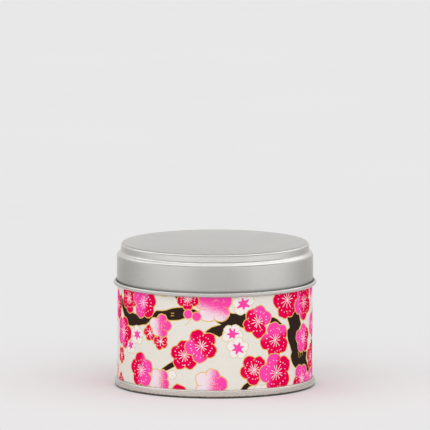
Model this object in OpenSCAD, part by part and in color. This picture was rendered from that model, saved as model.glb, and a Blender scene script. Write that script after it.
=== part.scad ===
// Round slip-lid candle tin with a paper-wrapped body.
// Origin: centre of the foot circle on the surface it stands on. +Z up, front towards -Y.

/* [Tinplate] */
// Thickness of the tinplate sheet
plate = 0.25; // [0.22:0.01:0.28]

/* [Body] */
// Outside diameter of the bare body tube
body_od = 76.2; // [70:0.1:90]
// Height from the foot to the top of the rolled mouth
body_h = 51.6; // [46:0.1:51.7]
// Outside radius of the inward roll at the mouth
mouth_roll_r = 0.75; // [0.6:0.05:0.9]
// Width of the lap of the side seam, measured round the tube
lap_w = 2.4; // [1.5:0.1:4]
// How far the lap stands out inside the tube
lap_t = 0.09; // [0.06:0.01:0.12]

/* [Base] */
// Height of the double seam at the foot
seam_h = 3.1; // [2.9:0.05:3.3]
// How far the seam stands out past the bare tube
seam_out = 1.18; // [1.15:0.01:1.3]
// Depth of the recess in the underside
recess = 3.1; // [2.9:0.1:4]
// Mean radius of the stiffening ring pressed into the base panel
ring_r = 29; // [20:0.5:32]
// Height of the stiffening ring
ring_h = 0.5; // [0.3:0.05:0.6]

/* [Paper] */
// Thickness of the paper
paper_t = 0.13; // [0.1:0.01:0.14]
// Gap between the paper and the lid's lower curl
paper_gap = 0.25; // [0.2:0.05:1]
// Overlap of the paper's two ends at the back
paper_lap = 7; // [4:0.5:12]

/* [Lid] */
// Radial play of the lid on the tube
lid_play = 0.15; // [0.12:0.01:0.2]
// Overall height of the closed tin
total_h = 56.2; // [55.1:0.1:75]
// How far the raised top stands in from the skirt
step_in = 1.7; // [1.5:0.05:1.9]
// Height from the foot to the top of the straight skirt, where the shoulder begins
shoulder_z = 51.1; // [51:0.1:52.2]
// Radius of the top edge
top_edge_r = 1.25; // [0.8:0.05:1.4]
// Height from the foot to the underside of the curl
curl_z = 39.85; // [30:0.05:44]
// Outside radius of the curl
curl_r = 0.78; // [0.7:0.01:0.9]

/* [Candle] */
// Height from the foot to the top of the wax
wax_top = 40.0; // [25:0.5:44]
// Gap left where the wax has shrunk from the tube
wax_gap = 0.15; // [0.13:0.01:0.3]
// Diameter of the wick
wick_d = 2.5; // [1.6:0.1:3]
// Length of wick above the wax
wick_out = 6.5; // [4:0.5:8]
// Diameter of the wick holder's disc
sustainer_d = 20; // [15:1:24]
// Height of the wick holder's neck
sustainer_neck = 6; // [3:0.5:8]
// Diameter of the adhesive pad
sticker_d = 18; // [12:1:20]
// Thickness of the adhesive pad
sticker_t = 0.8; // [0.5:0.1:1.5]

/* [Hidden] */
$fn = 120;

t = plate;
r_bo = body_od / 2;             // outside of the tube
r_bi = r_bo - t;                // inside of the tube
r_bm = r_bo - t / 2;            // middle of the tube's sheet
r_li = r_bo + lid_play;         // inside of the lid's skirt
r_lo = r_li + t;                // outside of the lid's skirt
r_ne = r_lo - step_in;          // outside of the lid's neck
r_se = r_bo + seam_out;         // outside of the seam
r_ch = r_bi - 0.03;             // outside of the base's chuck wall
fit = 0.04;                     // gap round pieces set in the wax

// ---- profile helpers: a sheet is a middle line thickened on both sides ----
function arc(cx, cz, r, a0, a1, n) =
    [for (i = [0:n]) let (a = a0 + (a1 - a0) * i / n) [cx + r * cos(a), cz + r * sin(a)]];
function clean(p) =
    [for (i = [0:len(p) - 1]) if (i == 0 || norm(p[i] - p[i - 1]) > 0.002) p[i]];
function side(p, i) = let (d = p[i + 1] - p[i]) [-d[1], d[0]] / norm(d);
function corner(p, i) =
    i == 0 ? side(p, 0)
    : i == len(p) - 1 ? side(p, len(p) - 2)
    : let (m = side(p, i - 1) + side(p, i)) m * (2 / (m * m));
function sheet(q, w) = let (p = clean(q)) concat(
    [for (i = [0:len(p) - 1]) p[i] + corner(p, i) * w / 2],
    [for (i = [len(p) - 1:-1:0]) p[i] - corner(p, i) * w / 2]);

module turned(points) { rotate_extrude() polygon(points); }

// ---- body tube: mouth roll, straight wall, hook into the base seam ----
hook_z = 0.62;                                  // middle of the flange at the foot
hook_r = r_bo + 0.155 + t + 0.15 + t / 2;       // middle of the upturned body hook
body_line = let (m = mouth_roll_r - t / 2, c = r_bo - mouth_roll_r, zc = body_h - mouth_roll_r)
    concat(
        arc(c, zc, m, 285, 0, 19),
        arc(r_bm + 0.3, hook_z + 0.3, 0.3, 180, 270, 5),
        arc(hook_r - 0.2, hook_z + 0.2, 0.2, 270, 360, 5),
        [[hook_r, seam_h - 0.95]]);

module body_wall() {
    color([0.74, 0.74, 0.72]) {
        union() {
            turned(sheet(body_line, t));
            // lap of the side seam, on the inside at the back
            intersection() {
                translate([0, 0, 4.2])
                    difference() {
                        cylinder(h = body_h - 2 * mouth_roll_r - 4.5, r = r_bi + t / 2);
                        translate([0, 0, -1]) cylinder(h = body_h, r = r_bi - lap_t);
                    }
                translate([-lap_w / 2, r_bi - 2, 0]) cube([lap_w, 4, body_h]);
            }
        }
    }
}

// ---- base: recessed panel, chuck wall, seam rolled over the body hook ----
panel_z = recess + t / 2;
cover_r = r_bo + 0.155 + t / 2;                 // middle of the cover hook
roll_r = 1.2;                                   // outside radius of the seam's rounded upper edge
roll_m = roll_r - t / 2 - 0.15;                 // from its centre to that of the tight turn inwards
roll_a = acos((cover_r + 0.15 - r_se + roll_r) / roll_m);
roll_z = seam_h - t / 2 - 0.15 - roll_m * sin(roll_a);
base_line = concat(
    [[0, panel_z]],
    arc(ring_r - 2.0, panel_z + 0.8, 0.8, 270, 310, 3),
    arc(ring_r, panel_z + ring_h - 0.8, 0.8, 130, 50, 6),
    arc(ring_r + 2.0, panel_z + 0.8, 0.8, 230, 270, 3),
    arc(r_ch - t / 2 - 0.6, panel_z - 0.6, 0.6, 90, 0, 7),
    arc(r_ch - t / 2 + 0.3, t / 2 + 0.3, 0.3, 180, 270, 5),
    arc(r_se - t / 2 - 0.475, t / 2 + 0.475, 0.475, 270, 360, 8),
    arc(r_se - roll_r, roll_z, roll_r - t / 2, 0, roll_a, 8),
    arc(cover_r + 0.15, seam_h - t / 2 - 0.15, 0.15, roll_a, 180, 5),
    [[cover_r, 1.05]]);

module base_end() {
    color([0.72, 0.72, 0.70]) turned(sheet(base_line, t));
}

// ---- sealing ring squeezed between the seam's foot and the body flange ----
module seam_compound() {
    color([0.30, 0.31, 0.30])
        turned([[r_bm + 0.25, t + 0.03], [hook_r - 0.3, t + 0.03],
                [hook_r - 0.3, hook_z - t / 2 - 0.03], [r_bm + 0.25, hook_z - t / 2 - 0.03]]);
}

// ---- paper strip wrapped once round the tube, ends lapped at the back ----
paper_r0 = r_bo + 0.02;
paper_z0 = seam_h + 0.1;
paper_z1 = curl_z - paper_gap;

module paper_wrap() {
    color([0.90, 0.80, 0.78]) {
        union() {
            turned([[paper_r0, paper_z0], [paper_r0 + paper_t, paper_z0],
                    [paper_r0 + paper_t, paper_z1], [paper_r0, paper_z1]]);
            // the end that lies on top
            rotate([0, 0, 90 - paper_lap * 90 / (PI * r_bo)])
                rotate_extrude(angle = paper_lap * 180 / (PI * r_bo))
                    polygon([[paper_r0 + paper_t / 2, paper_z0], [paper_r0 + 2 * paper_t, paper_z0],
                             [paper_r0 + 2 * paper_t, paper_z1], [paper_r0 + paper_t / 2, paper_z1]]);
        }
    }
}

// ---- lid: raised top, neck, sloping shoulder, skirt, outward curl ----
neck_fillet = 1.18;                             // outside radius at the foot of the neck
shoulder_r = 1.33;                              // outside radius at the top of the skirt
slope_a = 40;                                   // slope of the shoulder between the two
slope_l = (step_in - (neck_fillet + shoulder_r) * (1 - sin(slope_a))) / cos(slope_a);
fillet_z = shoulder_z + (neck_fillet + shoulder_r) * cos(slope_a) + slope_l * sin(slope_a);
lid_line = let (c = r_li + curl_r, zc = curl_z + curl_r, m = curl_r - t / 2)
    concat(
        [[0, total_h - t / 2]],
        arc(r_ne - top_edge_r, total_h - top_edge_r, top_edge_r - t / 2, 90, 0, 10),
        arc(r_ne + neck_fillet, fillet_z, neck_fillet + t / 2, 180, 270 - slope_a, 8),
        arc(r_lo - shoulder_r, shoulder_z, shoulder_r - t / 2, 90 - slope_a, 0, 8),
        arc(c, zc, m, 180, 456, 22));

module lid() {
    color([0.78, 0.78, 0.76]) turned(sheet(lid_line, t));
}

// ---- candle ----
sticker_z = recess + t;                         // top of the base panel
disc_z = sticker_z + sticker_t;
neck_z = disc_z + 0.3 + sustainer_neck;
wick_r = wick_d / 2;
neck_ri = wick_r + 0.03;
neck_ro = neck_ri + 0.42;
wax_r = r_bi - wax_gap;
wax_z0 = sticker_z + 0.02;

module wax_fill() {
    color([0.95, 0.92, 0.84])
        turned(concat(
            [[sustainer_d / 2 + fit, wax_z0]],
            // groove left by the stiffening ring
            arc(ring_r - 2.0, panel_z + 0.8, 0.8 - t / 2 - 0.02, 270, 310, 3),
            arc(ring_r, panel_z + ring_h - 0.8, 0.8 + t / 2 + 0.02, 130, 50, 6),
            arc(ring_r + 2.0, panel_z + 0.8, 0.8 - t / 2 - 0.02, 230, 270, 3),
            [[wax_r, wax_z0], [wax_r, wax_top],
             [wick_r + fit, wax_top], [wick_r + fit, neck_z + fit], [neck_ro + fit, neck_z + fit],
             [neck_ro + fit, disc_z + 0.3 + fit], [sustainer_d / 2 + fit, disc_z + 0.3 + fit]]));
}

module wick() {
    color([0.93, 0.91, 0.86])
        translate([0, 0, disc_z]) cylinder(h = wax_top + wick_out - disc_z, r = wick_r);
}

module wick_sustainer() {
    color([0.70, 0.70, 0.69])
        turned(concat(
            [[neck_ri, disc_z], [sustainer_d / 2, disc_z], [sustainer_d / 2, disc_z + 0.3]],
            [[neck_ro, disc_z + 0.3], [neck_ro, neck_z], [neck_ri, neck_z]]));
}

module wick_sticker() {
    color([0.92, 0.92, 0.90])
        translate([0, 0, sticker_z]) cylinder(h = sticker_t, r = sticker_d / 2);
}

body_wall();
base_end();
seam_compound();
paper_wrap();
lid();
wax_fill();
wick();
wick_sustainer();
wick_sticker();
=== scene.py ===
import math
import random

import bpy
import numpy as np
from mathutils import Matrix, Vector
from mathutils.geometry import delaunay_2d_cdt


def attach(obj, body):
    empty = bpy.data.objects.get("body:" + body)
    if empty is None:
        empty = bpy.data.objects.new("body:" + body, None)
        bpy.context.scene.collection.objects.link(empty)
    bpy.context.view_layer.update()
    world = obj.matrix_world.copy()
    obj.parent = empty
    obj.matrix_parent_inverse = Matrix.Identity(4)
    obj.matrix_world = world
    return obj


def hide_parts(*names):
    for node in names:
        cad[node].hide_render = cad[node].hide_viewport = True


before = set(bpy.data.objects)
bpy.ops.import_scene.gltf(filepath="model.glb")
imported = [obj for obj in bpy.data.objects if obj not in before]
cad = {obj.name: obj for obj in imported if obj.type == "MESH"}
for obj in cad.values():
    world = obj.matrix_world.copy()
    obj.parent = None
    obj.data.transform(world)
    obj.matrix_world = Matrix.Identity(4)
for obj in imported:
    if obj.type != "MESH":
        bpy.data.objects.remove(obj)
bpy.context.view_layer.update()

MM = 0.001
scene = bpy.context.scene


# =====================================================================================
# camera: level with a table edge, 8 degrees above the foot, long lens
# =====================================================================================
ELEV = math.radians(7.8)
DIST = 5.0
FIELD = 0.1686                      # width of the picture at the tin's axis
AIM = Vector((0.0, 0.0, 0.0669))

cam_data = bpy.data.cameras.new("camera")
cam_data.type = "PERSP"
cam_data.sensor_fit = "HORIZONTAL"
cam_data.sensor_width = 36.0
cam_data.lens = 36.0 * DIST / FIELD
cam_data.clip_start = 0.1
cam_data.clip_end = 40.0
cam = bpy.data.objects.new("camera", cam_data)
scene.collection.objects.link(cam)
back = Vector((0.0, -math.cos(ELEV), math.sin(ELEV)))
cam.location = AIM + back * DIST
cam.rotation_mode = "QUATERNION"
cam.rotation_quaternion = (-back).to_track_quat("-Z", "Y")
scene.camera = cam
scene.view_settings.view_transform = "Standard"
scene.view_settings.look = "None"


# =====================================================================================
# small helpers: colours, node materials, turned meshes
# =====================================================================================
def lin(r, g, b):
    """An sRGB colour of 0 to 255 as linear numbers."""
    def one(c):
        c /= 255.0
        return c / 12.92 if c <= 0.04045 else ((c + 0.055) / 1.055) ** 2.4
    return (one(r), one(g), one(b), 1.0)


def times(c, k):
    return (c[0] * k, c[1] * k, c[2] * k, 1.0)


class Mat:
    """A node material with one Principled shader."""

    def __init__(self, name):
        self.m = bpy.data.materials.new(name)
        self.m.use_nodes = True
        self.t = self.m.node_tree
        self.t.nodes.clear()
        self.out = self.t.nodes.new("ShaderNodeOutputMaterial")
        self.b = self.t.nodes.new("ShaderNodeBsdfPrincipled")
        self.t.links.new(self.b.outputs["BSDF"], self.out.inputs["Surface"])

    def set(self, **sockets):
        for k, v in sockets.items():
            self.b.inputs[k.replace("_", " ")].default_value = v
        return self

    def node(self, kind, **props):
        n = self.t.nodes.new(kind)
        for k, v in props.items():
            setattr(n, k, v)
        return n

    def link(self, a, b):
        self.t.links.new(a, b)

    def coords(self):
        return self.node("ShaderNodeTexCoord").outputs["Object"]

    def mapped(self, scale, offset=(0, 0, 0), rot=(0, 0, 0)):
        mp = self.node("ShaderNodeMapping")
        mp.inputs["Scale"].default_value = scale
        mp.inputs["Location"].default_value = offset
        mp.inputs["Rotation"].default_value = rot
        self.link(self.coords(), mp.inputs["Vector"])
        return mp.outputs["Vector"]

    def noise(self, vector, scale, detail=2.0, rough=0.5, distortion=0.0):
        n = self.node("ShaderNodeTexNoise")
        n.inputs["Scale"].default_value = scale
        n.inputs["Detail"].default_value = detail
        n.inputs["Roughness"].default_value = rough
        n.inputs["Distortion"].default_value = distortion
        self.link(vector, n.inputs["Vector"])
        return n.outputs["Fac"]

    def remap(self, value, a, b, c, d, kind="LINEAR"):
        n = self.node("ShaderNodeMapRange", interpolation_type=kind, clamp=True)
        for key, v in (("From Min", a), ("From Max", b), ("To Min", c), ("To Max", d)):
            n.inputs[key].default_value = v
        self.link(value, n.inputs["Value"])
        return n.outputs["Result"]

    def math(self, op, a, b=None):
        n = self.node("ShaderNodeMath", operation=op)
        for i, v in enumerate((a, b)):
            if v is None:
                continue
            if isinstance(v, (int, float)):
                n.inputs[i].default_value = v
            else:
                self.link(v, n.inputs[i])
        return n.outputs[0]

    def mix(self, fac, a, b, blend="MIX"):
        n = self.node("ShaderNodeMix", data_type="RGBA", blend_type=blend)
        for i, v in ((0, fac), (6, a), (7, b)):
            if isinstance(v, (int, float, tuple)):
                n.inputs[i].default_value = v
            else:
                self.link(v, n.inputs[i])
        return n.outputs[2]

    def bump(self, height, strength, distance):
        n = self.node("ShaderNodeBump")
        n.inputs["Strength"].default_value = strength
        n.inputs["Distance"].default_value = distance
        self.link(height, n.inputs["Height"])
        self.link(n.outputs["Normal"], self.b.inputs["Normal"])


def arc(cx, cz, r, a0, a1, n):
    return [(cx + r * math.cos(math.radians(a0 + (a1 - a0) * i / n)),
             cz + r * math.sin(math.radians(a0 + (a1 - a0) * i / n))) for i in range(n + 1)]


def sheet(path, t):
    """Outline of a sheet of thickness t along a middle line, one side out and the other side back."""
    p = [path[0]]
    for q in path[1:]:
        if math.dist(p[-1], q) > 0.002:
            p.append(q)
    sides = []
    for a, b in zip(p, p[1:]):
        d = math.dist(a, b)
        sides.append((-(b[1] - a[1]) / d, (b[0] - a[0]) / d))
    up, down = [], []
    for i, q in enumerate(p):
        if i == 0:
            n = sides[0]
        elif i == len(p) - 1:
            n = sides[-1]
        else:
            mx, mz = sides[i - 1][0] + sides[i][0], sides[i - 1][1] + sides[i][1]
            k = 2.0 / (mx * mx + mz * mz)
            n = (mx * k, mz * k)
        up.append((q[0] + n[0] * t / 2, q[1] + n[1] * t / 2))
        down.append((q[0] - n[0] * t / 2, q[1] - n[1] * t / 2))
    return up + down[::-1]


def make_object(name, verts, faces, mat, sharp_deg=35.0):
    me = bpy.data.meshes.new(name)
    me.from_pydata(verts, [], faces)
    me.update()
    import bmesh
    bm = bmesh.new()
    bm.from_mesh(me)
    bmesh.ops.recalc_face_normals(bm, faces=bm.faces)
    bm.to_mesh(me)
    bm.free()
    me.polygons.foreach_set("use_smooth", [True] * len(me.polygons))
    me.set_sharp_from_angle(angle=math.radians(sharp_deg))
    me.materials.append(mat)
    ob = bpy.data.objects.new(name, me)
    scene.collection.objects.link(ob)
    return ob


def turned(name, outline, angles, mat, move=None, sharp_deg=35.0):
    """Turns a closed outline (r, z in mm) about Z. A point on the axis becomes one vertex.
    move(r, z, angle) may give a point other than the plain one, as x, y, z in mm."""
    verts, index = [], []
    n = len(angles)
    for r, z in outline:
        if r < 1e-6:
            index.append([len(verts)] * n)
            verts.append((0.0, 0.0, z * MM))
        else:
            row = []
            for a in angles:
                row.append(len(verts))
                if move:
                    x, y, zz = move(r, z, a)
                else:
                    x, y, zz = r * math.cos(a), r * math.sin(a), z
                verts.append((x * MM, y * MM, zz * MM))
            index.append(row)
    faces = []
    for i in range(len(outline)):
        a, b = index[i], index[(i + 1) % len(outline)]
        if a[0] == a[1] and b[0] == b[1]:
            continue
        for j in range(n):
            k = (j + 1) % n
            f = []
            for v in (a[j], a[k], b[k], b[j]):
                if v not in f:
                    f.append(v)
            faces.append(f)
    return make_object(name, verts, faces, mat, sharp_deg)


def even(n, extra=()):
    """n even angles round the axis, from +X, with any extra ones."""
    a = [2 * math.pi * i / n for i in range(n)] + [e % (2 * math.pi) for e in extra]
    a.sort()
    out = []
    for x in a:
        if not out or x - out[-1] > 1e-5:
            out.append(x)
    return out


# =====================================================================================
# tinplate: satin, with the mill's rolling grain and a faint cloudiness
# =====================================================================================
def tinplate(name, base, rough, seed, cloud=0.04, crease=False, foot=False, bump=0.035):
    m = Mat(name)
    m.set(Metallic=1.0)
    # rolling grain: streaks about 9 mm long and 0.12 mm wide, along the sheet
    grain = m.noise(m.mapped((110, 8000, 8000), (seed, seed * 0.37, 0)), 1.0, 3.0, 0.6)
    # crystal spangle of the tin coating, about 1 mm, and broad clouds from handling
    spangle = m.noise(m.mapped((1, 1, 1), (seed * 0.01, 0, 0)), 900.0, 2.0, 0.5)
    clouds = m.noise(m.mapped((1, 1, 1), (0, seed * 0.02, 0)), 75.0, 3.0, 0.55)
    # matt specks, finer than the eye resolves, that broaden the sheen
    grit = m.noise(m.mapped((1, 1, 1), (0, 0, seed * 0.03)), 15000.0, 1.0, 0.5)
    tone = m.math("ADD", m.math("MULTIPLY", grain, 0.35),
                  m.math("ADD", m.math("MULTIPLY", spangle, 0.25), m.math("MULTIPLY", clouds, 0.4)))
    f = m.remap(tone, 0.36, 0.64, 0.0, 1.0)
    col = m.mix(f, times(base, 1 - cloud), times(base, 1 + cloud))
    if crease:
        # painted shade: the crease where the curl meets the skirt is darkened, as the shadow in that narrow groove
        sep = m.node("ShaderNodeSeparateXYZ")
        m.link(m.coords(), sep.inputs[0])
        x, y, z = sep.outputs
        r = m.math("SQRT", m.math("ADD", m.math("MULTIPLY", x, x), m.math("MULTIPLY", y, y)))
        low = m.math("MULTIPLY", m.remap(z, 0.0428, 0.0414, 0.0, 1.0, "SMOOTHSTEP"), m.remap(z, 0.0405, 0.0411, 0.0, 1.0, "SMOOTHSTEP"))
        inside = m.math("MULTIPLY", m.remap(r, 0.03892, 0.03865, 0.0, 1.0, "SMOOTHSTEP"), m.remap(r, 0.0383, 0.03845, 0.0, 1.0))
        col = m.mix(m.math("MULTIPLY", low, inside), col, m.mix(1.0, col, (0.40, 0.40, 0.40, 1.0), "MULTIPLY"))
    if foot:
        # painted shade: the edge it stands on is darkened below about 1 mm, as the contact shadow at the floor, its
        # upper line a little ragged
        sep = m.node("ShaderNodeSeparateXYZ")
        m.link(m.coords(), sep.inputs[0])
        foot_shade_z = m.math("ADD", sep.outputs[2], m.remap(spangle, 0.3, 0.7, -0.00012, 0.00012))
        col = m.mix(m.remap(foot_shade_z, 0.00100, 0.00058, 0.0, 1.0, "SMOOTHSTEP"), col, m.mix(1.0, col, (0.17, 0.163, 0.146, 1.0), "MULTIPLY"))
    m.link(col, m.b.inputs["Base Color"])
    shine = m.remap(tone, 0.36, 0.64, rough + 0.018, rough - 0.018)
    m.link(m.math("ADD", shine, m.remap(grit, 0.50, 0.60, 0.0, 0.26)), m.b.inputs["Roughness"])
    m.bump(m.math("ADD", m.math("MULTIPLY", grain, 0.7), m.math("MULTIPLY", spangle, 0.3)), bump, 0.00003)
    return m.m


TIN = (0.602, 0.594, 0.573, 1.0)
m_lid = tinplate("satin_tinplate_lid", TIN, 0.22, 3, crease=True)
m_body = tinplate("satin_tinplate_body", times(TIN, 0.99), 0.23, 11)
# the foot's tinplate is warmer than the lid's: partly its own tone, partly painted pink light thrown back from the
# paper
m_base = tinplate("satin_tinplate_base", (0.622, 0.59, 0.545, 1.0), 0.24, 23, cloud=0.03, foot=True, bump=0.015)
m_sus = tinplate("satin_tinplate_sustainer", times(TIN, 0.93), 0.30, 41)

# sheet and radii, as the frame has them (mm)
T = 0.25
R_BO, R_BI, R_BM = 38.1, 37.85, 37.975


# ---- lid ---------------------------------------------------------------------------
lid_line = ([(0.0, 56.105), (7.0, 56.105), (14.0, 56.105), (21.0, 56.105), (28.0, 56.105), (33.0, 56.105)]
            + arc(35.769, 55.105, 1.00, 90, 4.5, 20)
            + arc(38.20, 53.60, 1.305, 184.5, 229.9, 16)
            + arc(37.17, 51.186, 1.205, 49.9, 0, 18)
            + [(38.375, 48.0), (38.375, 44.5), (38.375, 42.8), (38.36, 42.3), (38.31, 41.8), (38.29, 41.4), (38.315, 41.0)]
            + arc(39.03, 40.63, 0.655, 180, 456, 44))
lid = turned("lid_shell", sheet(lid_line, T), even(224), m_lid)
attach(lid, "lid"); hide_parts("lid")

# ---- body tube ----------------------------------------------------------------------
body_line = (arc(37.35, 50.85, 0.625, 285, 0, 36)
             + [(R_BM, 47.0), (R_BM, 41.0), (R_BM, 30.0), (R_BM, 20.0), (R_BM, 10.0)]
             + arc(38.275, 0.92, 0.3, 180, 270, 8)
             + arc(38.58, 0.82, 0.2, 270, 360, 8)
             + [(38.78, 2.15)])
LAP = 1.2 / R_BI
half = math.pi / 2


def body_move(r, z, a):
    # the lap of the side seam stands 0.09 mm proud inside, at +Y
    d = abs(a - half)
    if d < LAP and abs(r - R_BI) < 0.03 and 4.0 < z < 49.9:
        r -= 0.09
    return r * math.cos(a), r * math.sin(a), z


body = turned("body_tube", sheet(body_line, T),
              even(224, [half + s * LAP * k for s in (-1, 1) for k in (0.985, 1.015)]), m_body, body_move)
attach(body, "tin"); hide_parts("body_wall")

# ---- base with its double seam --------------------------------------------------------
base_line = ([(0.0, 3.225), (9.0, 3.225), (18.0, 3.225), (24.0, 3.225)]
             + arc(27.0, 4.025, 0.8, 270, 310, 6)
             + arc(29.0, 2.925, 0.8, 130, 50, 10)
             + arc(31.0, 4.025, 0.8, 230, 270, 6)
             + arc(37.095, 2.625, 0.6, 90, 0, 10)
             + arc(37.995, 0.425, 0.3, 180, 270, 8)
             + arc(38.68, 0.6, 0.475, 270, 360, 14)
             + arc(38.08, 2.017, 1.075, 0, 60.9, 16)
             + arc(38.53, 2.825, 0.15, 60.9, 180, 8)
             + [(38.38, 1.05)])
base = turned("base_seamed", sheet(base_line, T), even(224), m_base)
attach(base, "tin"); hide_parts("base_end")


# =====================================================================================
# printed paper: one strip, 247 x 36.4 mm, wrapped once round the tube
# s runs round the tin in mm, 0 at the front and + to the right; z is the height in mm
# =====================================================================================
R_MAP = 38.2
S_END = 123.5
Z0, Z1 = 3.2, 39.6
PAPER_T = 0.13

CREAM = lin(233, 229, 220)
CRIMSON = lin(232, 0, 77)
PINK = lin(255, 72, 171)
PALE = lin(243, 227, 234)
WHITE = lin(244, 238, 234)
STAMEN = lin(252, 236, 242)
GOLD = lin(234, 194, 100)
GOLD_PALE = lin(222, 204, 152)
BARK = lin(50, 37, 31)

polys = []          # painted in this order: (points, ink, second ink, gradient, gold, stipple)


def clip(pts):
    """Cuts an outline at the strip's edges."""
    for axis, keep, edge in ((0, 1, -S_END), (0, -1, S_END), (1, 1, Z0), (1, -1, Z1)):
        out = []
        for i, p in enumerate(pts):
            q = pts[i - 1]
            a, b = keep * (q[axis] - edge), keep * (p[axis] - edge)
            if a * b < 0:
                k = a / (a - b)
                x = [q[0] + (p[0] - q[0]) * k, q[1] + (p[1] - q[1]) * k]
                x[axis] = edge
                out.append(tuple(x))
            if b >= 0:
                out.append(p)
        pts = out
        if len(pts) < 3:
            return []
    clean = []
    for p in pts:
        if not clean or math.dist(p, clean[-1]) > 1e-3:
            clean.append(p)
    while len(clean) > 2 and math.dist(clean[0], clean[-1]) < 1e-3:
        clean.pop()
    area = sum(clean[i - 1][0] * clean[i][1] - clean[i][0] * clean[i - 1][1] for i in range(len(clean))) / 2
    if len(clean) < 3 or abs(area) < 1e-4:
        return []
    return clean if area > 0 else clean[::-1]


def paint(pts, ink, ink2=None, grad=None, gold=0.0, stipple=0.0):
    c = clip(pts)
    if c:
        polys.append((c, ink, ink2 or ink, grad or (0.0, 0.0, 0.0), gold, stipple))


def disc(s, z, r, ink, n=8, gold=0.0, turn=0.3):
    paint([(s + r * math.cos(turn + 2 * math.pi * i / n), z + r * math.sin(turn + 2 * math.pi * i / n))
           for i in range(n)], ink, gold=gold)


def line(s0, z0, s1, z1, w0, w1, ink, gold=0.0):
    d = math.hypot(s1 - s0, z1 - z0)
    nx, nz = -(z1 - z0) / d / 2, (s1 - s0) / d / 2
    paint([(s0 + nx * w0, z0 + nz * w0), (s0 - nx * w0, z0 - nz * w0),
           (s1 - nx * w1, z1 - nz * w1), (s1 + nx * w1, z1 + nz * w1)], ink, gold=gold)


def spread(rot):
    """Directions of the five petals: evenly from one, or all five given."""
    return tuple(rot) if isinstance(rot, tuple) else tuple((rot + 72 * k) % 360 for k in range(5))


def petals(s, z, R, rot, dist, size, grow, rnd, n, wob):
    """Outline of five round petals drawn by hand: the outer edge of five circles, a little uneven."""
    dirs = sorted(spread(rot))
    circles = []
    for k, d in enumerate(dirs):
        gap = ((dirs[(k + 1) % 5] - dirs[k - 1]) % 360) / 2
        f = 1 + rnd.uniform(-wob, wob)
        circles.append((math.radians(d + rnd.uniform(-3, 3)), dist * R * f, size * R * f * (0.7 + 0.3 * gap / 72) + grow,
                        rnd.uniform(-0.05, 0.16), rnd.uniform(-0.15, 0.15)))
    ph = [rnd.uniform(0, 6.28) for _ in range(3)]
    pts = []
    for i in range(n):
        a = 2 * math.pi * i / n
        best, dent = 0.25 * R, 0.0
        for ca, cd, cr, tip, off in circles:
            d = a - ca
            q = cr * cr - (cd * math.sin(d)) ** 2
            if q > 0:
                r = cd * math.cos(d) + math.sqrt(q)
                if r > best:
                    best = r
                    e = (d - off + math.pi) % (2 * math.pi) - math.pi
                    dent = tip * 0.35 * math.exp(-(e / 0.13) ** 2)
        best *= 1 - dent + 0.012 * math.sin(7 * a + ph[0]) + 0.010 * math.sin(13 * a + ph[1]) + 0.006 * math.sin(23 * a + ph[2])
        pts.append((s + best * math.cos(a), z + best * math.sin(a)))
    return pts


def slope(s, z, R, direction, share, width):
    """Gradient along a direction: 0 before the boundary, 1 after it, as numbers for t = g0 + gs * s + gz * z."""
    a = math.radians(direction)
    q0 = 1 - 2 * share
    gs, gz = math.cos(a) / (R * width), math.sin(a) / (R * width)
    return (0.5 - q0 / width - gs * s - gz * z, gs, gz)


def stamens(s, z, R, rnd, n, m):
    """White filaments from the middle, and round them a loose ring of their heads."""
    turn = rnd.uniform(0, 6.28)
    for k in range(n):
        a = turn + 2 * math.pi * (k + rnd.uniform(-0.24, 0.24)) / n
        r0, r1 = R * rnd.uniform(0.02, 0.12), R * rnd.uniform(0.34, 0.49)
        line(s + r0 * math.cos(a), z + r0 * math.sin(a), s + r1 * math.cos(a), z + r1 * math.sin(a), 0.21, 0.27, STAMEN)
    disc(s, z, 0.055 * R, STAMEN, 8)
    for k in range(m):
        a = turn + 2 * math.pi * (k + rnd.uniform(-0.26, 0.26)) / m
        r = R * rnd.uniform(0.57, 0.71)
        disc(s + r * math.cos(a), z + r * math.sin(a), rnd.uniform(0.17, 0.25), STAMEN, 7)


def big(s, z, R, rot, direction=None, share=0.0, seed=None):
    """A full plum blossom: crimson, one side pink, white stamens with their heads, gold edge."""
    key = int(s * 10) * 1000 + int(z * 10) if seed is None else seed
    paint(petals(s, z, R, rot, 0.57, 0.43, 0.39, random.Random(key), 110, 0.04), GOLD, gold=1.0)
    edge = petals(s, z, R, rot, 0.57, 0.43, 0.07, random.Random(key), 110, 0.04)
    if direction is None:
        paint(edge, CRIMSON)
    else:
        paint(edge, CRIMSON, PINK, slope(s, z, R, direction, share, 0.40), stipple=0.25)
    rnd = random.Random(key + 7)
    # fine gold lines that run in where petals meet
    dirs = sorted(spread(rot))
    for k in range(5):
        a = math.radians((dirs[k] + ((dirs[(k + 1) % 5] - dirs[k]) % 360) / 2))
        line(s + 0.76 * R * math.cos(a), z + 0.76 * R * math.sin(a),
             s + 0.60 * R * math.cos(a + 0.04), z + 0.60 * R * math.sin(a + 0.04), 0.26, 0.06, GOLD, 1.0)
    stamens(s, z, R, rnd, 11 + rnd.randrange(3), 17 + rnd.randrange(4))


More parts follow.
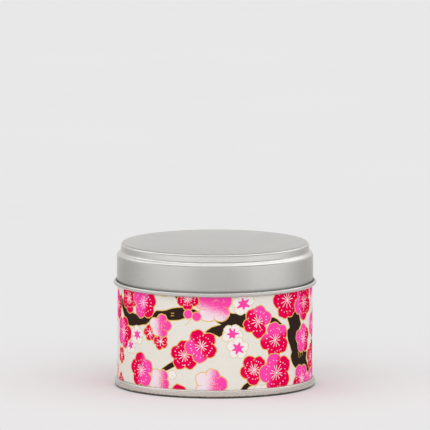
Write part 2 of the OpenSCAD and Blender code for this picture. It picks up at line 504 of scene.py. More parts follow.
def shaded(s, z, R, rot, direction, share):
    """A pale blossom shaded pink from one side, with gold stamen heads."""
    key = int(s * 10) * 1000 + int(z * 10) + 3
    paint(petals(s, z, R, rot, 0.57, 0.43, 0.38, random.Random(key), 110, 0.05), GOLD, gold=1.0)
    paint(petals(s, z, R, rot, 0.57, 0.43, 0.0, random.Random(key), 110, 0.05), PALE, PINK,
          slope(s, z, R, direction, share, 0.62), stipple=0.8)
    rnd = random.Random(key + 5)
    a0 = math.radians(direction)
    dirs = sorted(spread(rot))
    for k in range(5):
        a = math.radians((dirs[k] + ((dirs[(k + 1) % 5] - dirs[k]) % 360) / 2))
        line(s + 0.76 * R * math.cos(a), z + 0.76 * R * math.sin(a),
             s + 0.52 * R * math.cos(a + 0.05), z + 0.52 * R * math.sin(a + 0.05), 0.28, 0.06, GOLD, 1.0)
    for k in range(16):
        a = a0 + rnd.uniform(-1.1, 1.1)
        r = R * rnd.uniform(0.12, 0.66)
        disc(s + r * math.cos(a), z + r * math.sin(a), rnd.uniform(0.13, 0.21), GOLD, 6, 1.0)


def white(s, z, R, rot, star=0.60):
    """A white blossom with a pink star in the middle and a fine pale gold edge."""
    key = int(s * 10) * 1000 + int(z * 10) + 11
    paint(petals(s, z, R, rot, 0.55, 0.45, 0.26, random.Random(key), 90, 0.06), GOLD_PALE, gold=0.7)
    paint(petals(s, z, R, rot, 0.55, 0.45, 0.0, random.Random(key), 90, 0.06), WHITE)
    rnd = random.Random(key + 2)
    for k in range(5):
        a = math.radians(spread(rot)[k] + 36)
        line(s + 0.80 * R * math.cos(a), z + 0.80 * R * math.sin(a),
             s + 0.50 * R * math.cos(a + 0.05), z + 0.50 * R * math.sin(a + 0.05), 0.28, 0.08, GOLD_PALE, 0.7)
    n = 5 if rnd.random() < 0.3 else 6
    pts = []
    for k in range(n):
        a = math.radians(spread(rot)[0]) + 2 * math.pi * (k + rnd.uniform(-0.10, 0.10)) / n
        r = R * star * rnd.uniform(0.80, 1.08)
        w = rnd.uniform(0.06, 0.12)
        pts += [(s + 0.29 * R * math.cos(a - math.pi / n), z + 0.29 * R * math.sin(a - math.pi / n)),
                (s + r * math.cos(a - w), z + r * math.sin(a - w)), (s + r * math.cos(a + w), z + r * math.sin(a + w))]
    paint(pts, PINK)


def small(s, z, R, rot):
    """A small crimson blossom with a white star of stamens."""
    key = int(s * 10) * 1000 + int(z * 10) + 17
    paint(petals(s, z, R, rot, 0.58, 0.42, 0.36, random.Random(key), 80, 0.05), GOLD, gold=1.0)
    paint(petals(s, z, R, rot, 0.58, 0.42, 0.0, random.Random(key), 80, 0.05), CRIMSON)
    rnd = random.Random(key + 1)
    for k in range(7):
        a = 2 * math.pi * (k + rnd.uniform(-0.25, 0.25)) / 7
        r = R * rnd.uniform(0.46, 0.62)
        line(s, z, s + r * math.cos(a), z + r * math.sin(a), 0.26, 0.28, STAMEN)
    for k in range(7):
        a = 2 * math.pi * (k + 0.5 + rnd.uniform(-0.3, 0.3)) / 7
        disc(s + 0.68 * R * math.cos(a), z + 0.68 * R * math.sin(a), 0.19, STAMEN, 6)
    disc(s, z, 0.12 * R, STAMEN, 8)


def bud(s, z, R, ink=PINK):
    disc(s, z, R + 0.3, GOLD, 26, 1.0)
    disc(s, z, R, ink, 26)


def white_bud(s, z, R, turn):
    """A closed white bud: a round with two sepals."""
    a = math.radians(turn)
    disc(s, z, R + 0.22, GOLD_PALE, 26, 0.7)
    disc(s, z, R, WHITE, 26)
    for e in (-0.5, 0.5):
        line(s - 0.95 * R * math.cos(a), z - 0.95 * R * math.sin(a),
             s - 0.2 * R * math.cos(a + e * 2), z - 0.2 * R * math.sin(a + e * 2), 0.18, 0.08, GOLD_PALE, 0.7)


def smooth_path(pts, step=0.8):
    """A curve through the points (s, z, width), with points about a step apart."""
    out = []
    for i in range(len(pts) - 1):
        p0, p1, p2, p3 = pts[max(i - 1, 0)], pts[i], pts[i + 1], pts[min(i + 2, len(pts) - 1)]
        n = max(2, int(math.dist(p1[:2], p2[:2]) / step))
        for j in range(n):
            t = j / n
            out.append(tuple(0.5 * (2 * b + (c - a) * t + (2 * a - 5 * b + 4 * c - d) * t * t
                                    + (3 * b - a - 3 * c + d) * t ** 3)
                             for a, b, c, d in zip(p0, p1, p2, p3)))
    out.append(tuple(pts[-1]))
    return out


def stroke(pts, seed=1, rough=0.10, rim=0.26, slant=0.35):
    """A branch laid down as one brush stroke: dark ink with a fine gold edge, its ends cut at a slant."""
    path = smooth_path(pts)
    rnd = random.Random(seed)
    wob = [[rnd.uniform(-rough, rough) for _ in path] for _ in range(2)]
    for grow, ink, gold in ((rim, GOLD, 1.0), (0.0, BARK, 0.0)):
        left, right = [], []
        for i, (s, z, w) in enumerate(path):
            a, b = path[max(i - 1, 0)], path[min(i + 1, len(path) - 1)]
            d = math.hypot(b[0] - a[0], b[1] - a[1])
            tx, tz = (b[0] - a[0]) / d, (b[1] - a[1]) / d
            end = -grow if i == 0 else grow if i == len(path) - 1 else 0.0
            cut = slant * w / 2 if i in (0, len(path) - 1) else 0.0
            wl = w / 2 * (1 + 2 * wob[0][i]) + grow
            wr = w / 2 * (1 + 2 * wob[1][i]) + grow
            left.append((s - tz * wl + tx * (end + cut), z + tx * wl + tz * (end + cut)))
            right.append((s + tz * wr + tx * (end - cut), z - tx * wr + tz * (end - cut)))
        paint(right + left[::-1], ink, gold=gold)


def limb(corners, seed, rim=0.34, rough=0.16):
    """A branch cut from its outline: angular, its edge a little ragged, with a gold rim."""
    rnd = random.Random(seed)
    pts = []
    for i, q in enumerate(corners):
        p = corners[i - 1]
        n = max(1, int(math.dist(p, q) / 1.1))
        for j in range(n):
            k = j / n
            d = 0.0 if j == 0 else rough
            pts.append((p[0] + (q[0] - p[0]) * k + rnd.uniform(-d, d), p[1] + (q[1] - p[1]) * k + rnd.uniform(-d, d)))
    area = sum(pts[i - 1][0] * pts[i][1] - pts[i][0] * pts[i - 1][1] for i in range(len(pts)))
    if area < 0:
        pts.reverse()
    out = []
    for i, q in enumerate(pts):
        p, r = pts[i - 1], pts[(i + 1) % len(pts)]
        e1, e2 = math.dist(p, q), math.dist(q, r)
        nx = (q[1] - p[1]) / e1 + (r[1] - q[1]) / e2
        nz = -(q[0] - p[0]) / e1 - (r[0] - q[0]) / e2
        k = rim * min(2 / max(nx * nx + nz * nz, 0.2), 1.4)
        out.append((q[0] + nx * k, q[1] + nz * k))
    paint(out, GOLD, gold=1.0)
    paint(pts, BARK)


def hatch(s, z, turn, n=3, length=1.1, gap=0.55):
    """Short gold strokes on the bark."""
    a = math.radians(turn)
    for k in range(n):
        o = (k - (n - 1) / 2) * gap
        cs, cz = s - math.sin(a) * o + 0.2 * (k % 2), z + math.cos(a) * o
        line(cs - math.cos(a) * length / 2, cz - math.sin(a) * length / 2,
             cs + math.cos(a) * length / 2, cz + math.sin(a) * length / 2, 0.30, 0.22, GOLD, 1.0)


# ---- branches first, then what sits on them -------------------------------------------
# left of the front
limb([(-49.4, 37.6), (-46.3, 34.6), (-42.8, 32.2), (-37.8, 31.1), (-32.1, 30.6), (-26.4, 31.6), (-24.4, 33.4), (-21.8, 33.5),
      (-19.5, 34.0), (-17.3, 34.8), (-15.2, 35.2), (-13.1, 35.4), (-11.4, 35.1), (-8.0, 34.8), (-6.1, 33.7), (-4.7, 32.4),
      (-5.6, 31.8), (-7.2, 32.6), (-9.4, 32.4), (-11.6, 31.5), (-14.1, 30.6), (-16.3, 30.3), (-18.4, 30.2), (-20.4, 30.9),
      (-23.0, 30.2), (-26.0, 29.4), (-28.6, 28.5), (-30.0, 27.5), (-32.9, 27.0), (-36.9, 26.3), (-40.6, 25.9), (-43.4, 27.2),
      (-45.9, 30.0), (-48.4, 33.0)], 1)
hatch(-17.2, 32.5, 4, 2, 1.4, 1.0)
limb([(-16.6, 39.9), (-15.0, 38.6), (-12.6, 38.0), (-12.0, 40.2)], 2)
limb([(-14.0, 15.0), (-14.6, 13.1), (-17.8, 11.2), (-20.1, 10.1), (-22.4, 8.6), (-23.2, 9.4), (-21.8, 10.8), (-19.5, 12.4), (-16.8, 14.0)], 3, 0.24, 0.08)
stroke([(-34.0, 2.0, 0.9), (-31.4, 4.6, 1.2)], 4, 0.02, 0.24)
# middle of the front
limb([(-3.6, 26.2), (-1.2, 27.9), (0.8, 28.5), (2.5, 29.0), (1.0, 29.9), (-0.6, 31.1), (1.8, 30.5), (4.0, 30.4), (5.2, 31.5), (4.5, 32.4),
      (5.7, 33.6), (6.9, 33.2), (8.9, 33.2), (10.6, 32.9), (12.4, 33.3), (14.6, 31.0), (13.0, 28.0), (11.2, 27.6), (9.4, 28.2),
      (7.6, 28.2), (6.2, 28.0), (4.2, 27.3), (3.0, 26.3), (2.7, 24.8), (1.7, 24.2), (0.3, 25.0), (-1.2, 25.2), (-2.6, 25.2)], 5)
limb([(21.0, 31.2), (24.6, 30.7), (26.5, 29.7), (28.8, 27.8), (27.1, 27.4), (24.9, 28.6), (21.0, 28.8)], 8, 0.28, 0.10)
limb([(16.4, 6.8), (15.8, 5.0), (13.4, 4.1), (11.8, 2.4), (9.6, 2.4), (11.3, 4.8), (13.4, 6.2)], 9, 0.24, 0.08)
# trunk right of the front
limb([(31.4, 31.6), (34.6, 32.0), (36.6, 32.0), (39.2, 31.0), (39.8, 29.3), (40.3, 27.8), (41.0, 26.4), (39.8, 25.1), (38.9, 23.8),
      (38.1, 21.4), (38.0, 19.4), (38.9, 17.6), (41.9, 16.1), (43.6, 15.4), (45.2, 15.8), (46.4, 14.4), (45.7, 12.5), (46.0, 11.5),
      (47.9, 9.2), (51.0, 6.8), (48.2, 6.2), (46.2, 8.2), (44.9, 9.5), (42.5, 9.0), (39.9, 9.0), (36.6, 9.8), (35.2, 11.2), (34.2, 12.9),
      (33.8, 14.6), (34.5, 16.2), (33.3, 19.0), (32.2, 21.1), (31.7, 23.6), (31.8, 25.0), (33.2, 25.9), (32.8, 27.4), (32.0, 29.2)], 10)
for k in ((38.8, 15.7, 39.7, 13.0), (40.3, 15.5, 41.0, 13.3), (42.4, 16.0, 42.4, 13.8)):
    line(*k, 0.30, 0.16, GOLD, 1.0)
stroke([(54.6, 18.4, 2.8), (55.4, 14.0, 2.4)], 11, 0.06)
# right side and back
stroke([(57.0, 29.0, 1.4), (63.0, 30.6, 3.6), (69.0, 30.0, 4.6), (75.0, 31.6, 3.2), (80.0, 31.0, 2.2)], 12, 0.09)
stroke([(68.0, 29.0, 2.2), (70.0, 25.4, 1.6), (73.6, 23.0, 0.8)], 13, 0.06)
hatch(68.4, 30.6, 10, 3, 1.2, 0.6)
stroke([(61.0, 7.4, 0.9), (66.0, 10.0, 1.3), (70.0, 9.2, 1.0)], 14, 0.03, 0.2)
stroke([(88.0, 39.6, 3.4), (90.4, 34.0, 5.4), (94.0, 29.6, 5.0), (93.2, 24.6, 5.8), (97.4, 20.0, 5.0), (103.0, 18.4, 4.4),
        (108.6, 19.6, 3.0), (113.6, 18.2, 1.4)], 15, 0.08)
stroke([(96.4, 21.6, 2.6), (96.0, 17.0, 1.8), (98.6, 13.4, 0.9)], 16, 0.06)
hatch(92.6, 31.4, 120, 3, 1.3, 0.6)
stroke([(79.6, 15.6, 0.9), (84.0, 13.4, 1.2), (87.6, 14.2, 0.9)], 17, 0.03, 0.2)
stroke([(110.0, 33.0, 1.0), (115.0, 34.6, 1.7), (121.0, 33.8, 2.4), (123.5, 33.0, 2.6)], 18, 0.06)
stroke([(108.0, 5.0, 0.9), (113.6, 7.4, 1.2)], 19, 0.03, 0.2)
# left side and back
stroke([(-59.0, 12.0, 1.0), (-65.0, 14.8, 3.4), (-71.0, 14.0, 4.6), (-76.6, 16.4, 3.6), (-83.0, 15.4, 2.4), (-88.0, 17.0, 1.2)], 20, 0.09)
hatch(-70.4, 14.4, 165, 3, 1.2, 0.6)
stroke([(-72.0, 15.4, 2.2), (-73.4, 19.6, 1.6), (-71.6, 23.4, 0.8)], 21, 0.06)
stroke([(-62.0, 33.4, 0.9), (-67.0, 35.2, 1.4), (-71.0, 34.0, 1.0)], 22, 0.03, 0.2)
stroke([(-94.0, 2.95, 3.8), (-96.6, 8.4, 5.6), (-101.0, 12.4, 5.0), (-102.4, 17.6, 6.0), (-99.0, 22.6, 5.2),
        (-101.6, 28.0, 4.4), (-107.0, 31.6, 3.4), (-112.6, 32.6, 1.6)], 23, 0.08)
hatch(-101.4, 15.6, 70, 3, 1.4, 0.6)
stroke([(-100.0, 24.0, 2.6), (-95.0, 26.6, 1.9), (-90.6, 26.0, 0.9)], 24, 0.06)
stroke([(-114.0, 10.0, 0.9), (-118.6, 12.6, 1.4), (-123.5, 12.0, 1.8)], 25, 0.04, 0.2)
stroke([(-81.0, 33.4, 0.9), (-85.6, 30.6, 1.2)], 26, 0.03, 0.2)
# a few fine gold lines on the bare ground
for s0, z0, s1, z1 in ((-11.6, 28.4, -10.5, 29.8), (-10.5, 29.8, -9.4, 31.0), (27.4, 33.4, 29.6, 32.6),
                       (52.2, 30.0, 54.0, 31.6), (84.4, 22.0, 86.6, 23.4), (-86.0, 9.0, -84.2, 11.0),
                       (-61.6, 26.6, -59.8, 28.2), (116.4, 25.6, 118.2, 27.2)):
    line(s0, z0, s1, z1, 0.30, 0.22, GOLD, 1.0)

# white blossoms and buds
for a in ((-39.7, 18.2, 3.5, 20), (-35.2, 22.9, 3.9, 90), (11.2, 36.9, 4.6, 95), (6.8, 25.2, 4.1, 60),
          (9.0, 19.5, 4.4, 15), (18.9, 0.6, 4.6, 54), (59.4, 21.6, 4.0, 30),
          (84.6, 8.6, 4.1, 10), (81.4, 26.6, 3.8, 55), (99.0, 36.6, 4.2, 80),
          (120.0, 26.4, 4.1, 5), (-60.0, 37.0, 4.2, 40), (-66.4, 27.6, 4.0, 85),
          (-79.6, 7.0, 4.2, 30), (-90.6, 36.4, 4.1, 65),
          (-107.6, 20.6, 4.2, 50), (-121.0, 37.0, 4.0, 35)):
    white(*a)
white_bud(-17.3, 8.6, 1.7, 120)
white_bud(73.0, 16.0, 1.7, 40)
white_bud(107.4, 28.6, 1.7, 200)
white_bud(-63.4, 20.6, 1.7, 80)
white_bud(-115.4, 15.6, 1.7, 10)

# small crimson blossoms
for a in ((-27.7, 24.4, 3.2, (30, 105, 175, 250, 315)), (-22.4, 21.5, 3.3, 35), (-48.5, 13.1, 3.3, 60),
          (90.4, 12.6, 3.2, 10), (103.6, 25.6, 3.1, 70), (118.4, 13.8, 3.2, 40),
          (-57.6, 6.8, 3.2, 20), (-113.4, 37.2, 3.2, 0),
          (-93.0, 14.6, 3.1, 110)):
    small(*a)

# shaded blossoms
for a in ((-22.7, 27.7, 4.8, (0, 72, 168, 232, 296), 5, 0.60), (-23.2, 5.9, 4.9, 50, -5, 0.42), (-0.6, 36.9, 7.3, 20, 70, 0.66),
          (-1.6, 5.4, 6.4, 5, -8, 0.50), (56.0, 37.2, 5.6, 20, 120, 0.5), (57.8, 3.8, 5.8, 50, 30, 0.5),
          (78.2, 36.6, 6.6, 85, -30, 0.5), (103.6, 8.6, 6.0, 45, 150, 0.5),
          (-57.2, 30.2, 5.4, 30, 200, 0.5), (-77.0, 36.6, 6.2, 70, 20, 0.5),
          (-87.6, 4.6, 6.2, 25, 110, 0.5), (-120.4, 22.6, 5.8, 80, 30, 0.5)):
    shaded(*a)

# full blossoms, the ones behind first
for a in (
        # front, from left to right
        (-54.0, 32.4, 6.0, 20, 180, 0.55), (-41.0, 36.6, 5.7, 64), (-31.3, 35.9, 6.5, (21, 90, 155, 240, 312), 165, 0.62),
        (-45.9, 22.7, 6.6, 0, 185, 0.58), (-49.4, 2.4, 3.6, 90), (-32.8, 9.2, 6.6, 96, -12, 0.52), (-21.0, 41.6, 2.4, 90),
        (-10.7, 38.9, 4.3, 54), (-14.5, -2.2, 7.3, 90), (-12.1, 16.6, 5.9, 93), (-5.3, 20.5, 6.4, 45, 215, 0.38),
        (15.6, 10.8, 5.8, 50), (17.2, 29.7, 6.2, (20, 75, 132, 203, 280), 45, 0.38),
        (25.4, 21.8, 6.9, (38, 103, 185, 262, 328), 98, 0.38), (26.0, 8.8, 7.8, 36, 155, 0.40),
        (31.7, 37.0, 7.4, (20, 100, 176, 247, 296)), (43.6, 34.8, 7.2, 49, 190, 0.30), (43.0, 20.6, 5.7, 90, 170, 0.64),
        (41.7, 4.6, 6.2, 52, 60, 0.55), (52.0, 4.4, 4.4, 30, 200, 0.85), (51.8, 12.2, 5.0, 15), (54.6, 24.6, 5.2, 60, 180, 0.6),
        # right side and back
        (64.6, 36.6, 5.6, 30), (66.0, 13.2, 6.4, 95, 70, 0.42),
        (75.6, 27.0, 5.6, 80, 220, 0.45), (86.6, 20.0, 6.2, 40, 160, 0.40),
        (93.6, 6.4, 6.6, 55, 100, 0.45),
        (98.2, 26.8, 6.2, 75, 315, 0.42), (109.6, 13.2, 6.4, 50, 30, 0.40), (117.0, 36.8, 5.4, 90, 200, 0.4),
        (121.4, 18.8, 5.4, 35),
        # left side and back
        (-64.6, 8.4, 6.4, 20, 60, 0.42), (-65.4, 20.4, 6.2, 55, 150, 0.40),
        (-75.2, 29.0, 6.4, 85, 200, 0.42),
        (-78.8, 13.6, 6.0, 45, 330, 0.42), (-90.0, 29.6, 6.2, 70, 0, 0.40),
        (-95.6, 20.0, 6.2, 30, 110, 0.42), (-104.4, 37.0, 5.8, 50, 180, 0.42), (-104.0, 8.6, 6.4, 15, 240, 0.42),
        (-114.6, 19.4, 6.2, 60, 150, 0.42),
        (-117.4, 30.0, 6.0, 5, 280, 0.42), (-119.8, 4.6, 5.8, 85, 45, 0.42)):
    big(*a)

# pink buds
for a in ((-10.6, 32.9, 1.7), (-7.2, 32.1, 1.7), (80.6, 30.6, 1.7), (84.0, 26.8, 1.6), (113.8, 24.0, 1.7),
          (-87.0, 25.6, 1.7), (-90.0, 9.8, 1.6), (-71.4, 24.4, 1.7), (-110.4, 32.8, 1.7)):
    bud(*a)


def wrap_radius(s):
    """Outside radius of the paper: the last 7 mm lie over the other end."""
    k = min(1.0, max(0.0, (s - 114.8) / 1.6))
    return 38.25 + 0.135 * k * k * (3 - 2 * k)


def wrapped(s, z, r):
    a = s / R_MAP
    return (r * math.sin(a) * MM, -r * math.cos(a) * MM, z * MM)


def build_paper(mat):
    verts, faces, edges = [], [], []

    def face(pts):
        b = len(verts)
        verts.extend(Vector(p) for p in pts)
        faces.append(list(range(b, b + len(pts))))

    face([(-S_END, Z0), (S_END, Z0), (S_END, Z1), (-S_END, Z1)])
    for p in polys:
        face(p[0])
    n_lines = 246
    cuts = [-S_END + 2 * S_END * i / n_lines for i in range(1, n_lines)]
    for c in cuts:
        verts.append(Vector((c, Z0)))
        verts.append(Vector((c, Z1)))
        edges.append((len(verts) - 2, len(verts) - 1))
    out = delaunay_2d_cdt(verts, edges, faces, 1, 1e-5, True)
    flat = np.array([(v.x, v.y) for v in out[0]])
    tris, owner = [], []
    for f, src in zip(out[2], out[5]):
        top = max(src) if src else 0
        for k in range(1, len(f) - 1):
            a, b, c = f[0], f[k], f[k + 1]
            area = ((flat[b][0] - flat[a][0]) * (flat[c][1] - flat[a][1])
                    - (flat[c][0] - flat[a][0]) * (flat[b][1] - flat[a][1]))
            if abs(area) < 1e-9:
                continue
            tris.append((a, b, c) if area > 0 else (a, c, b))
            owner.append(top)

    # outer face, then an inner edge loop and the inner face
    co = [wrapped(s, z, wrap_radius(s)) for s, z in flat]
    eps = 1e-5
    chain = {"bottom": [], "top": [], "left": [], "right": []}
    used = sorted({i for t in tris for i in t})
    for i in used:
        s, z = flat[i]
        if abs(z - Z0) < eps:
            chain["bottom"].append(i)
        if abs(z - Z1) < eps:
            chain["top"].append(i)
        if abs(s + S_END) < eps:
            chain["left"].append(i)
        if abs(s - S_END) < eps:
            chain["right"].append(i)
    for k in ("bottom", "top"):
        chain[k].sort(key=lambda i: flat[i][0])
    for k in ("left", "right"):
        chain[k].sort(key=lambda i: flat[i][1])
    inner = {}
    for i in sorted(set(sum(chain.values(), []))):
        s, z = flat[i]
        inner[i] = len(co)
        co.append(wrapped(s, z, wrap_radius(s) - PAPER_T))
    n_outer = len(tris)
    kind = [0] * n_outer
    all_tris = list(tris)

    def quad(a, b):
        all_tris.append((a, inner[a], b)); kind.append(1)
        all_tris.append((b, inner[a], inner[b])); kind.append(1)

    for c in (chain["bottom"][::-1], chain["top"], chain["left"], chain["right"][::-1]):
        for a, b in zip(c, c[1:]):
            quad(b, a)
    # inner face: one strip between its lower and upper edges, ends fanned
    lo, hi = chain["bottom"], chain["top"]
    i = j = 0

    def back_face(a, b, c):
        all_tris.append((inner[a], inner[b], inner[c])); kind.append(2)

    first_apex = lo[1]
    for a, b in zip(chain["left"], chain["left"][1:]):
        back_face(first_apex, a, b)
    i = 1
    while i < len(lo) - 1 or j < len(hi) - 1:
        step_lo = i < len(lo) - 1 and (j >= len(hi) - 1 or flat[lo[i + 1]][0] <= flat[hi[j + 1]][0])
        if step_lo and i == len(lo) - 2 and j < len(hi) - 1:
            step_lo = False
        if step_lo:
            if i == len(lo) - 2:
                for a, b in zip(chain["right"], chain["right"][1:]):
                    back_face(lo[i], b, a)
                i += 1
                continue
            back_face(lo[i + 1], lo[i], hi[j])
            i += 1
        else:
            back_face(lo[i], hi[j], hi[j + 1])
            j += 1

    me = bpy.data.meshes.new("paper_printed")
    me.from_pydata(co, [], all_tris)
    me.update()

    # print data on every corner: two inks, where between them, gold, and how stippled
    nt = len(all_tris)
    ink = np.ones((nt, 3, 4), np.float32)
    ink2 = np.ones((nt, 3, 4), np.float32)
    prn = np.zeros((nt, 3, 3), np.float32)
    nor = np.zeros((nt, 3, 3), np.float32)
    uv = np.zeros((nt, 3, 2), np.float32)
    ink[:] = CREAM
    ink2[:] = CREAM
    row = 2 * S_END / 3
    c3 = np.array(co)
    inv = {v: k for k, v in inner.items()}
    for n, (t, k) in enumerate(zip(all_tris, kind)):
        p3 = [c3[v] for v in t]
        if k == 0:
            own = owner[n]
            if own:
                _, a, b, g, gold, stip = polys[own - 1]
                ink[n, :] = a
                ink2[n, :] = b
                for q, v in enumerate(t):
                    prn[n, q] = (g[0] + g[1] * flat[v][0] + g[2] * flat[v][1], gold, stip)
            mid = sum(flat[v][0] for v in t) / 3
            r = min(2, max(0, int((mid + S_END) / row)))
            for q, v in enumerate(t):
                s, z = flat[v]
                uv[n, q] = (0.003 + 0.994 * (s + S_END - r * row) / row,
                            0.004 + 0.314 * r + 0.308 * (z - Z0) / (Z1 - Z0))
                nor[n, q] = (math.sin(s / R_MAP), -math.cos(s / R_MAP), 0)
        elif k == 2:
            for q, v in enumerate(t):
                s, z = flat[inv[v]]
                uv[n, q] = (0.003 + 0.994 * (s + S_END) / (2 * S_END), 0.965 + 0.03 * (z - Z0) / (Z1 - Z0))
                nor[n, q] = (-math.sin(s / R_MAP), math.cos(s / R_MAP), 0)
        else:
            e1, e2 = p3[1] - p3[0], p3[2] - p3[0]
            fn = np.cross(e1, e2)
            ln = np.linalg.norm(fn)
            fn = fn / ln if ln > 0 else np.array([0, 0, 1.0])
            for q, v in enumerate(t):
                inn = v in inv
                s, z = flat[inv[v] if inn else v]
                side = abs(fn[2]) < 0.5
                if side:
                    uv[n, q] = (0.003 + 0.3 * (z - Z0) / (Z1 - Z0) + (0.4 if s > 0 else 0.0), 0.9515 + (0.004 if inn else 0.0))
                else:
                    uv[n, q] = (0.003 + 0.994 * (s + S_END) / (2 * S_END),
                                (0.9585 if z > 20 else 0.9445) + (0.004 if inn else 0.0))
                nor[n, q] = fn
    for name, data in (("ink", ink), ("ink2", ink2)):
        at = me.attributes.new(name, "FLOAT_COLOR", "CORNER")
        at.data.foreach_set("color", data.ravel())
    at = me.attributes.new("prn", "FLOAT_VECTOR", "CORNER")
    at.data.foreach_set("vector", prn.ravel())
    layer = me.uv_layers.new(name="OFBake")
    layer.data.foreach_set("uv", uv.ravel())
    me.polygons.foreach_set("use_smooth", [True] * len(me.polygons))
    me.normals_split_custom_set([tuple(v) for v in nor.reshape(-1, 3)])
    me.materials.append(mat)
    ob = bpy.data.objects.new("paper_printed", me)
    scene.collection.objects.link(ob)
    return ob


def paper_material():
    m = Mat("washi_print")
    ink = m.node("ShaderNodeAttribute", attribute_name="ink").outputs["Color"]
    ink2 = m.node("ShaderNodeAttribute", attribute_name="ink2").outputs["Color"]
    prn = m.node("ShaderNodeSeparateXYZ")
    m.link(m.node("ShaderNodeAttribute", attribute_name="prn").outputs["Vector"], prn.inputs[0])
    # screen of fine dots that carries the shading from one ink to the other
    dots = m.noise(m.coords(), 3300.0, 1.0, 0.5)
    push = m.math("MULTIPLY", m.math("SUBTRACT", dots, 0.5), m.math("MULTIPLY", prn.outputs["Z"], 3.0))
    f = m.remap(m.math("ADD", prn.outputs["X"], push), 0.0, 1.0, 0.0, 1.0, "SMOOTHSTEP")
    col = m.mix(f, ink, ink2)
    # fibres of the paper: long hairs and short flock, seen in tone and relief
    hairs = m.noise(m.mapped((260, 260, 1500), (3, 1, 0), (0.5, 0.3, 0.2)), 1.0, 3.0, 0.6, 1.5)
    flock = m.noise(m.coords(), 1500.0, 3.0, 0.6)
    tone = m.math("ADD", m.math("MULTIPLY", hairs, 0.5), m.math("MULTIPLY", flock, 0.5))
    m.link(m.mix(m.remap(tone, 0.35, 0.65, 0.0, 1.0), m.mix(1.0, col, (0.955, 0.95, 0.945, 1.0), "MULTIPLY"), col),
           m.b.inputs["Base Color"])
    m.link(m.remap(prn.outputs["Y"], 0.0, 1.0, 0.0, 0.25), m.b.inputs["Metallic"])
    rough = m.math("ADD", m.remap(prn.outputs["Y"], 0.0, 1.0, 0.74, 0.42), m.remap(tone, 0.3, 0.7, -0.06, 0.06))
    m.link(rough, m.b.inputs["Roughness"])
    m.b.inputs["Specular IOR Level"].default_value = 0.02
    m.bump(m.math("ADD", tone, m.math("MULTIPLY", prn.outputs["Y"], 0.35)), 0.25, 0.00004)
    return m.m


paper = build_paper(paper_material())
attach(paper, "tin"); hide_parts("paper_wrap")


# =====================================================================================
# candle: wax, braided wick, its holder and pad
# =====================================================================================
def wax_material():
    m = Mat("wax_cream")
    clouds = m.noise(m.coords(), 140.0, 4.0, 0.6)
    frost = m.noise(m.coords(), 900.0, 3.0, 0.6, 0.8)
    tone = m.math("ADD", m.math("MULTIPLY", clouds, 0.6), m.math("MULTIPLY", frost, 0.4))
    # painted light: the wax's cream is lifted toward white to offset the shade the tin's walls and lid cast on it
    m.link(m.mix(m.remap(tone, 0.35, 0.65, 0.0, 1.0), lin(247, 238, 216), lin(253, 248, 235)), m.b.inputs["Base Color"])
    m.link(m.remap(tone, 0.35, 0.65, 0.36, 0.52), m.b.inputs["Roughness"])
    m.b.inputs["Subsurface Weight"].default_value = 0.35
    m.b.inputs["Subsurface Radius"].default_value = (1.0, 0.7, 0.4)
    m.b.inputs["Subsurface Scale"].default_value = 0.002
    m.bump(tone, 0.12, 0.0001)
    return m.m


WAX_R, WAX_Z, WAX_Z0 = 37.7, 40.0, 3.37
WICK_R = 1.25


def wax_top(r):
    """Height of the poured surface: drawn up at the tin and the wick, a little sunk between."""
    rim = 0.55 * math.exp(-(WAX_R - r) / 0.9)
    collar = 0.55 * math.exp(-(r - WICK_R) / 1.1)
    dip = -0.28 * math.exp(-((r - 9.0) / 6.5) ** 2) + 0.05 * math.cos(r * 0.22)
    return WAX_Z + rim + collar + dip


wax_rings = [1.29, 1.5, 1.8, 2.2, 2.7, 3.4, 4.4, 5.6, 7.0, 8.5, 10, 12, 14, 16, 18, 20, 22, 24, 26, 28, 30, 32,
             33.5, 34.6, 35.4, 36.0, 36.5, 36.9, 37.2, 37.45, 37.6, 37.68]
wax_outline = ([(10.04, WAX_Z0)]
               + arc(27.0, 4.025, 0.655, 270, 310, 4) + arc(29.0, 2.925, 0.945, 130, 50, 8) + arc(31.0, 4.025, 0.655, 230, 270, 4)
               + [(37.3, WAX_Z0), (37.62, WAX_Z0 + 0.12), (WAX_R, WAX_Z0 + 0.4), (WAX_R, 12.0), (WAX_R, 20.0), (WAX_R, 28.0), (WAX_R, 36.0),
                  (WAX_R, wax_top(WAX_R) - 0.1)]
               + [(r, wax_top(r)) for r in reversed(wax_rings)]
               + [(1.29, 30.0), (1.29, 20.0), (1.29, 10.49), (1.74, 10.49), (1.74, 4.49), (10.04, 4.49)])


def wax_move(r, z, a):
    if z > 39.2 and 2.0 < r < 36.6:
        w = min(1.0, (r - 2.0) / 3.0, (36.6 - r) / 2.0)
        z += w * (0.05 * math.sin(3 * a + 0.31 * r) + 0.035 * math.sin(5 * a - 0.47 * r + 1.3)
                  + 0.02 * math.sin(11 * a + 0.9 * r))
    elif z > 39.2 and r >= 36.6:
        z += 0.10 * math.sin(2 * a + 0.6) + 0.06 * math.sin(7 * a)
    return r * math.cos(a), r * math.sin(a), z


wax = turned("wax_poured", wax_outline, even(144), wax_material(), wax_move)
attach(wax, "tin"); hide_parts("wax_fill")


def wick_material():
    m = Mat("wick_cotton")
    fibre = m.noise(m.mapped((2600, 2600, 900), (1, 2, 3)), 1.0, 3.0, 0.6)
    waxed = m.noise(m.coords(), 700.0, 2.0, 0.5)
    # painted light: the cotton's tone is lifted toward white to offset the shade inside the tin
    m.link(m.mix(m.remap(fibre, 0.3, 0.7, 0.0, 1.0), lin(233, 226, 208), lin(254, 251, 244)), m.b.inputs["Base Color"])
    m.link(m.remap(waxed, 0.3, 0.7, 0.45, 0.75), m.b.inputs["Roughness"])
    m.b.inputs["Sheen Weight"].default_value = 0.2
    m.bump(fibre, 0.4, 0.00008)
    return m.m


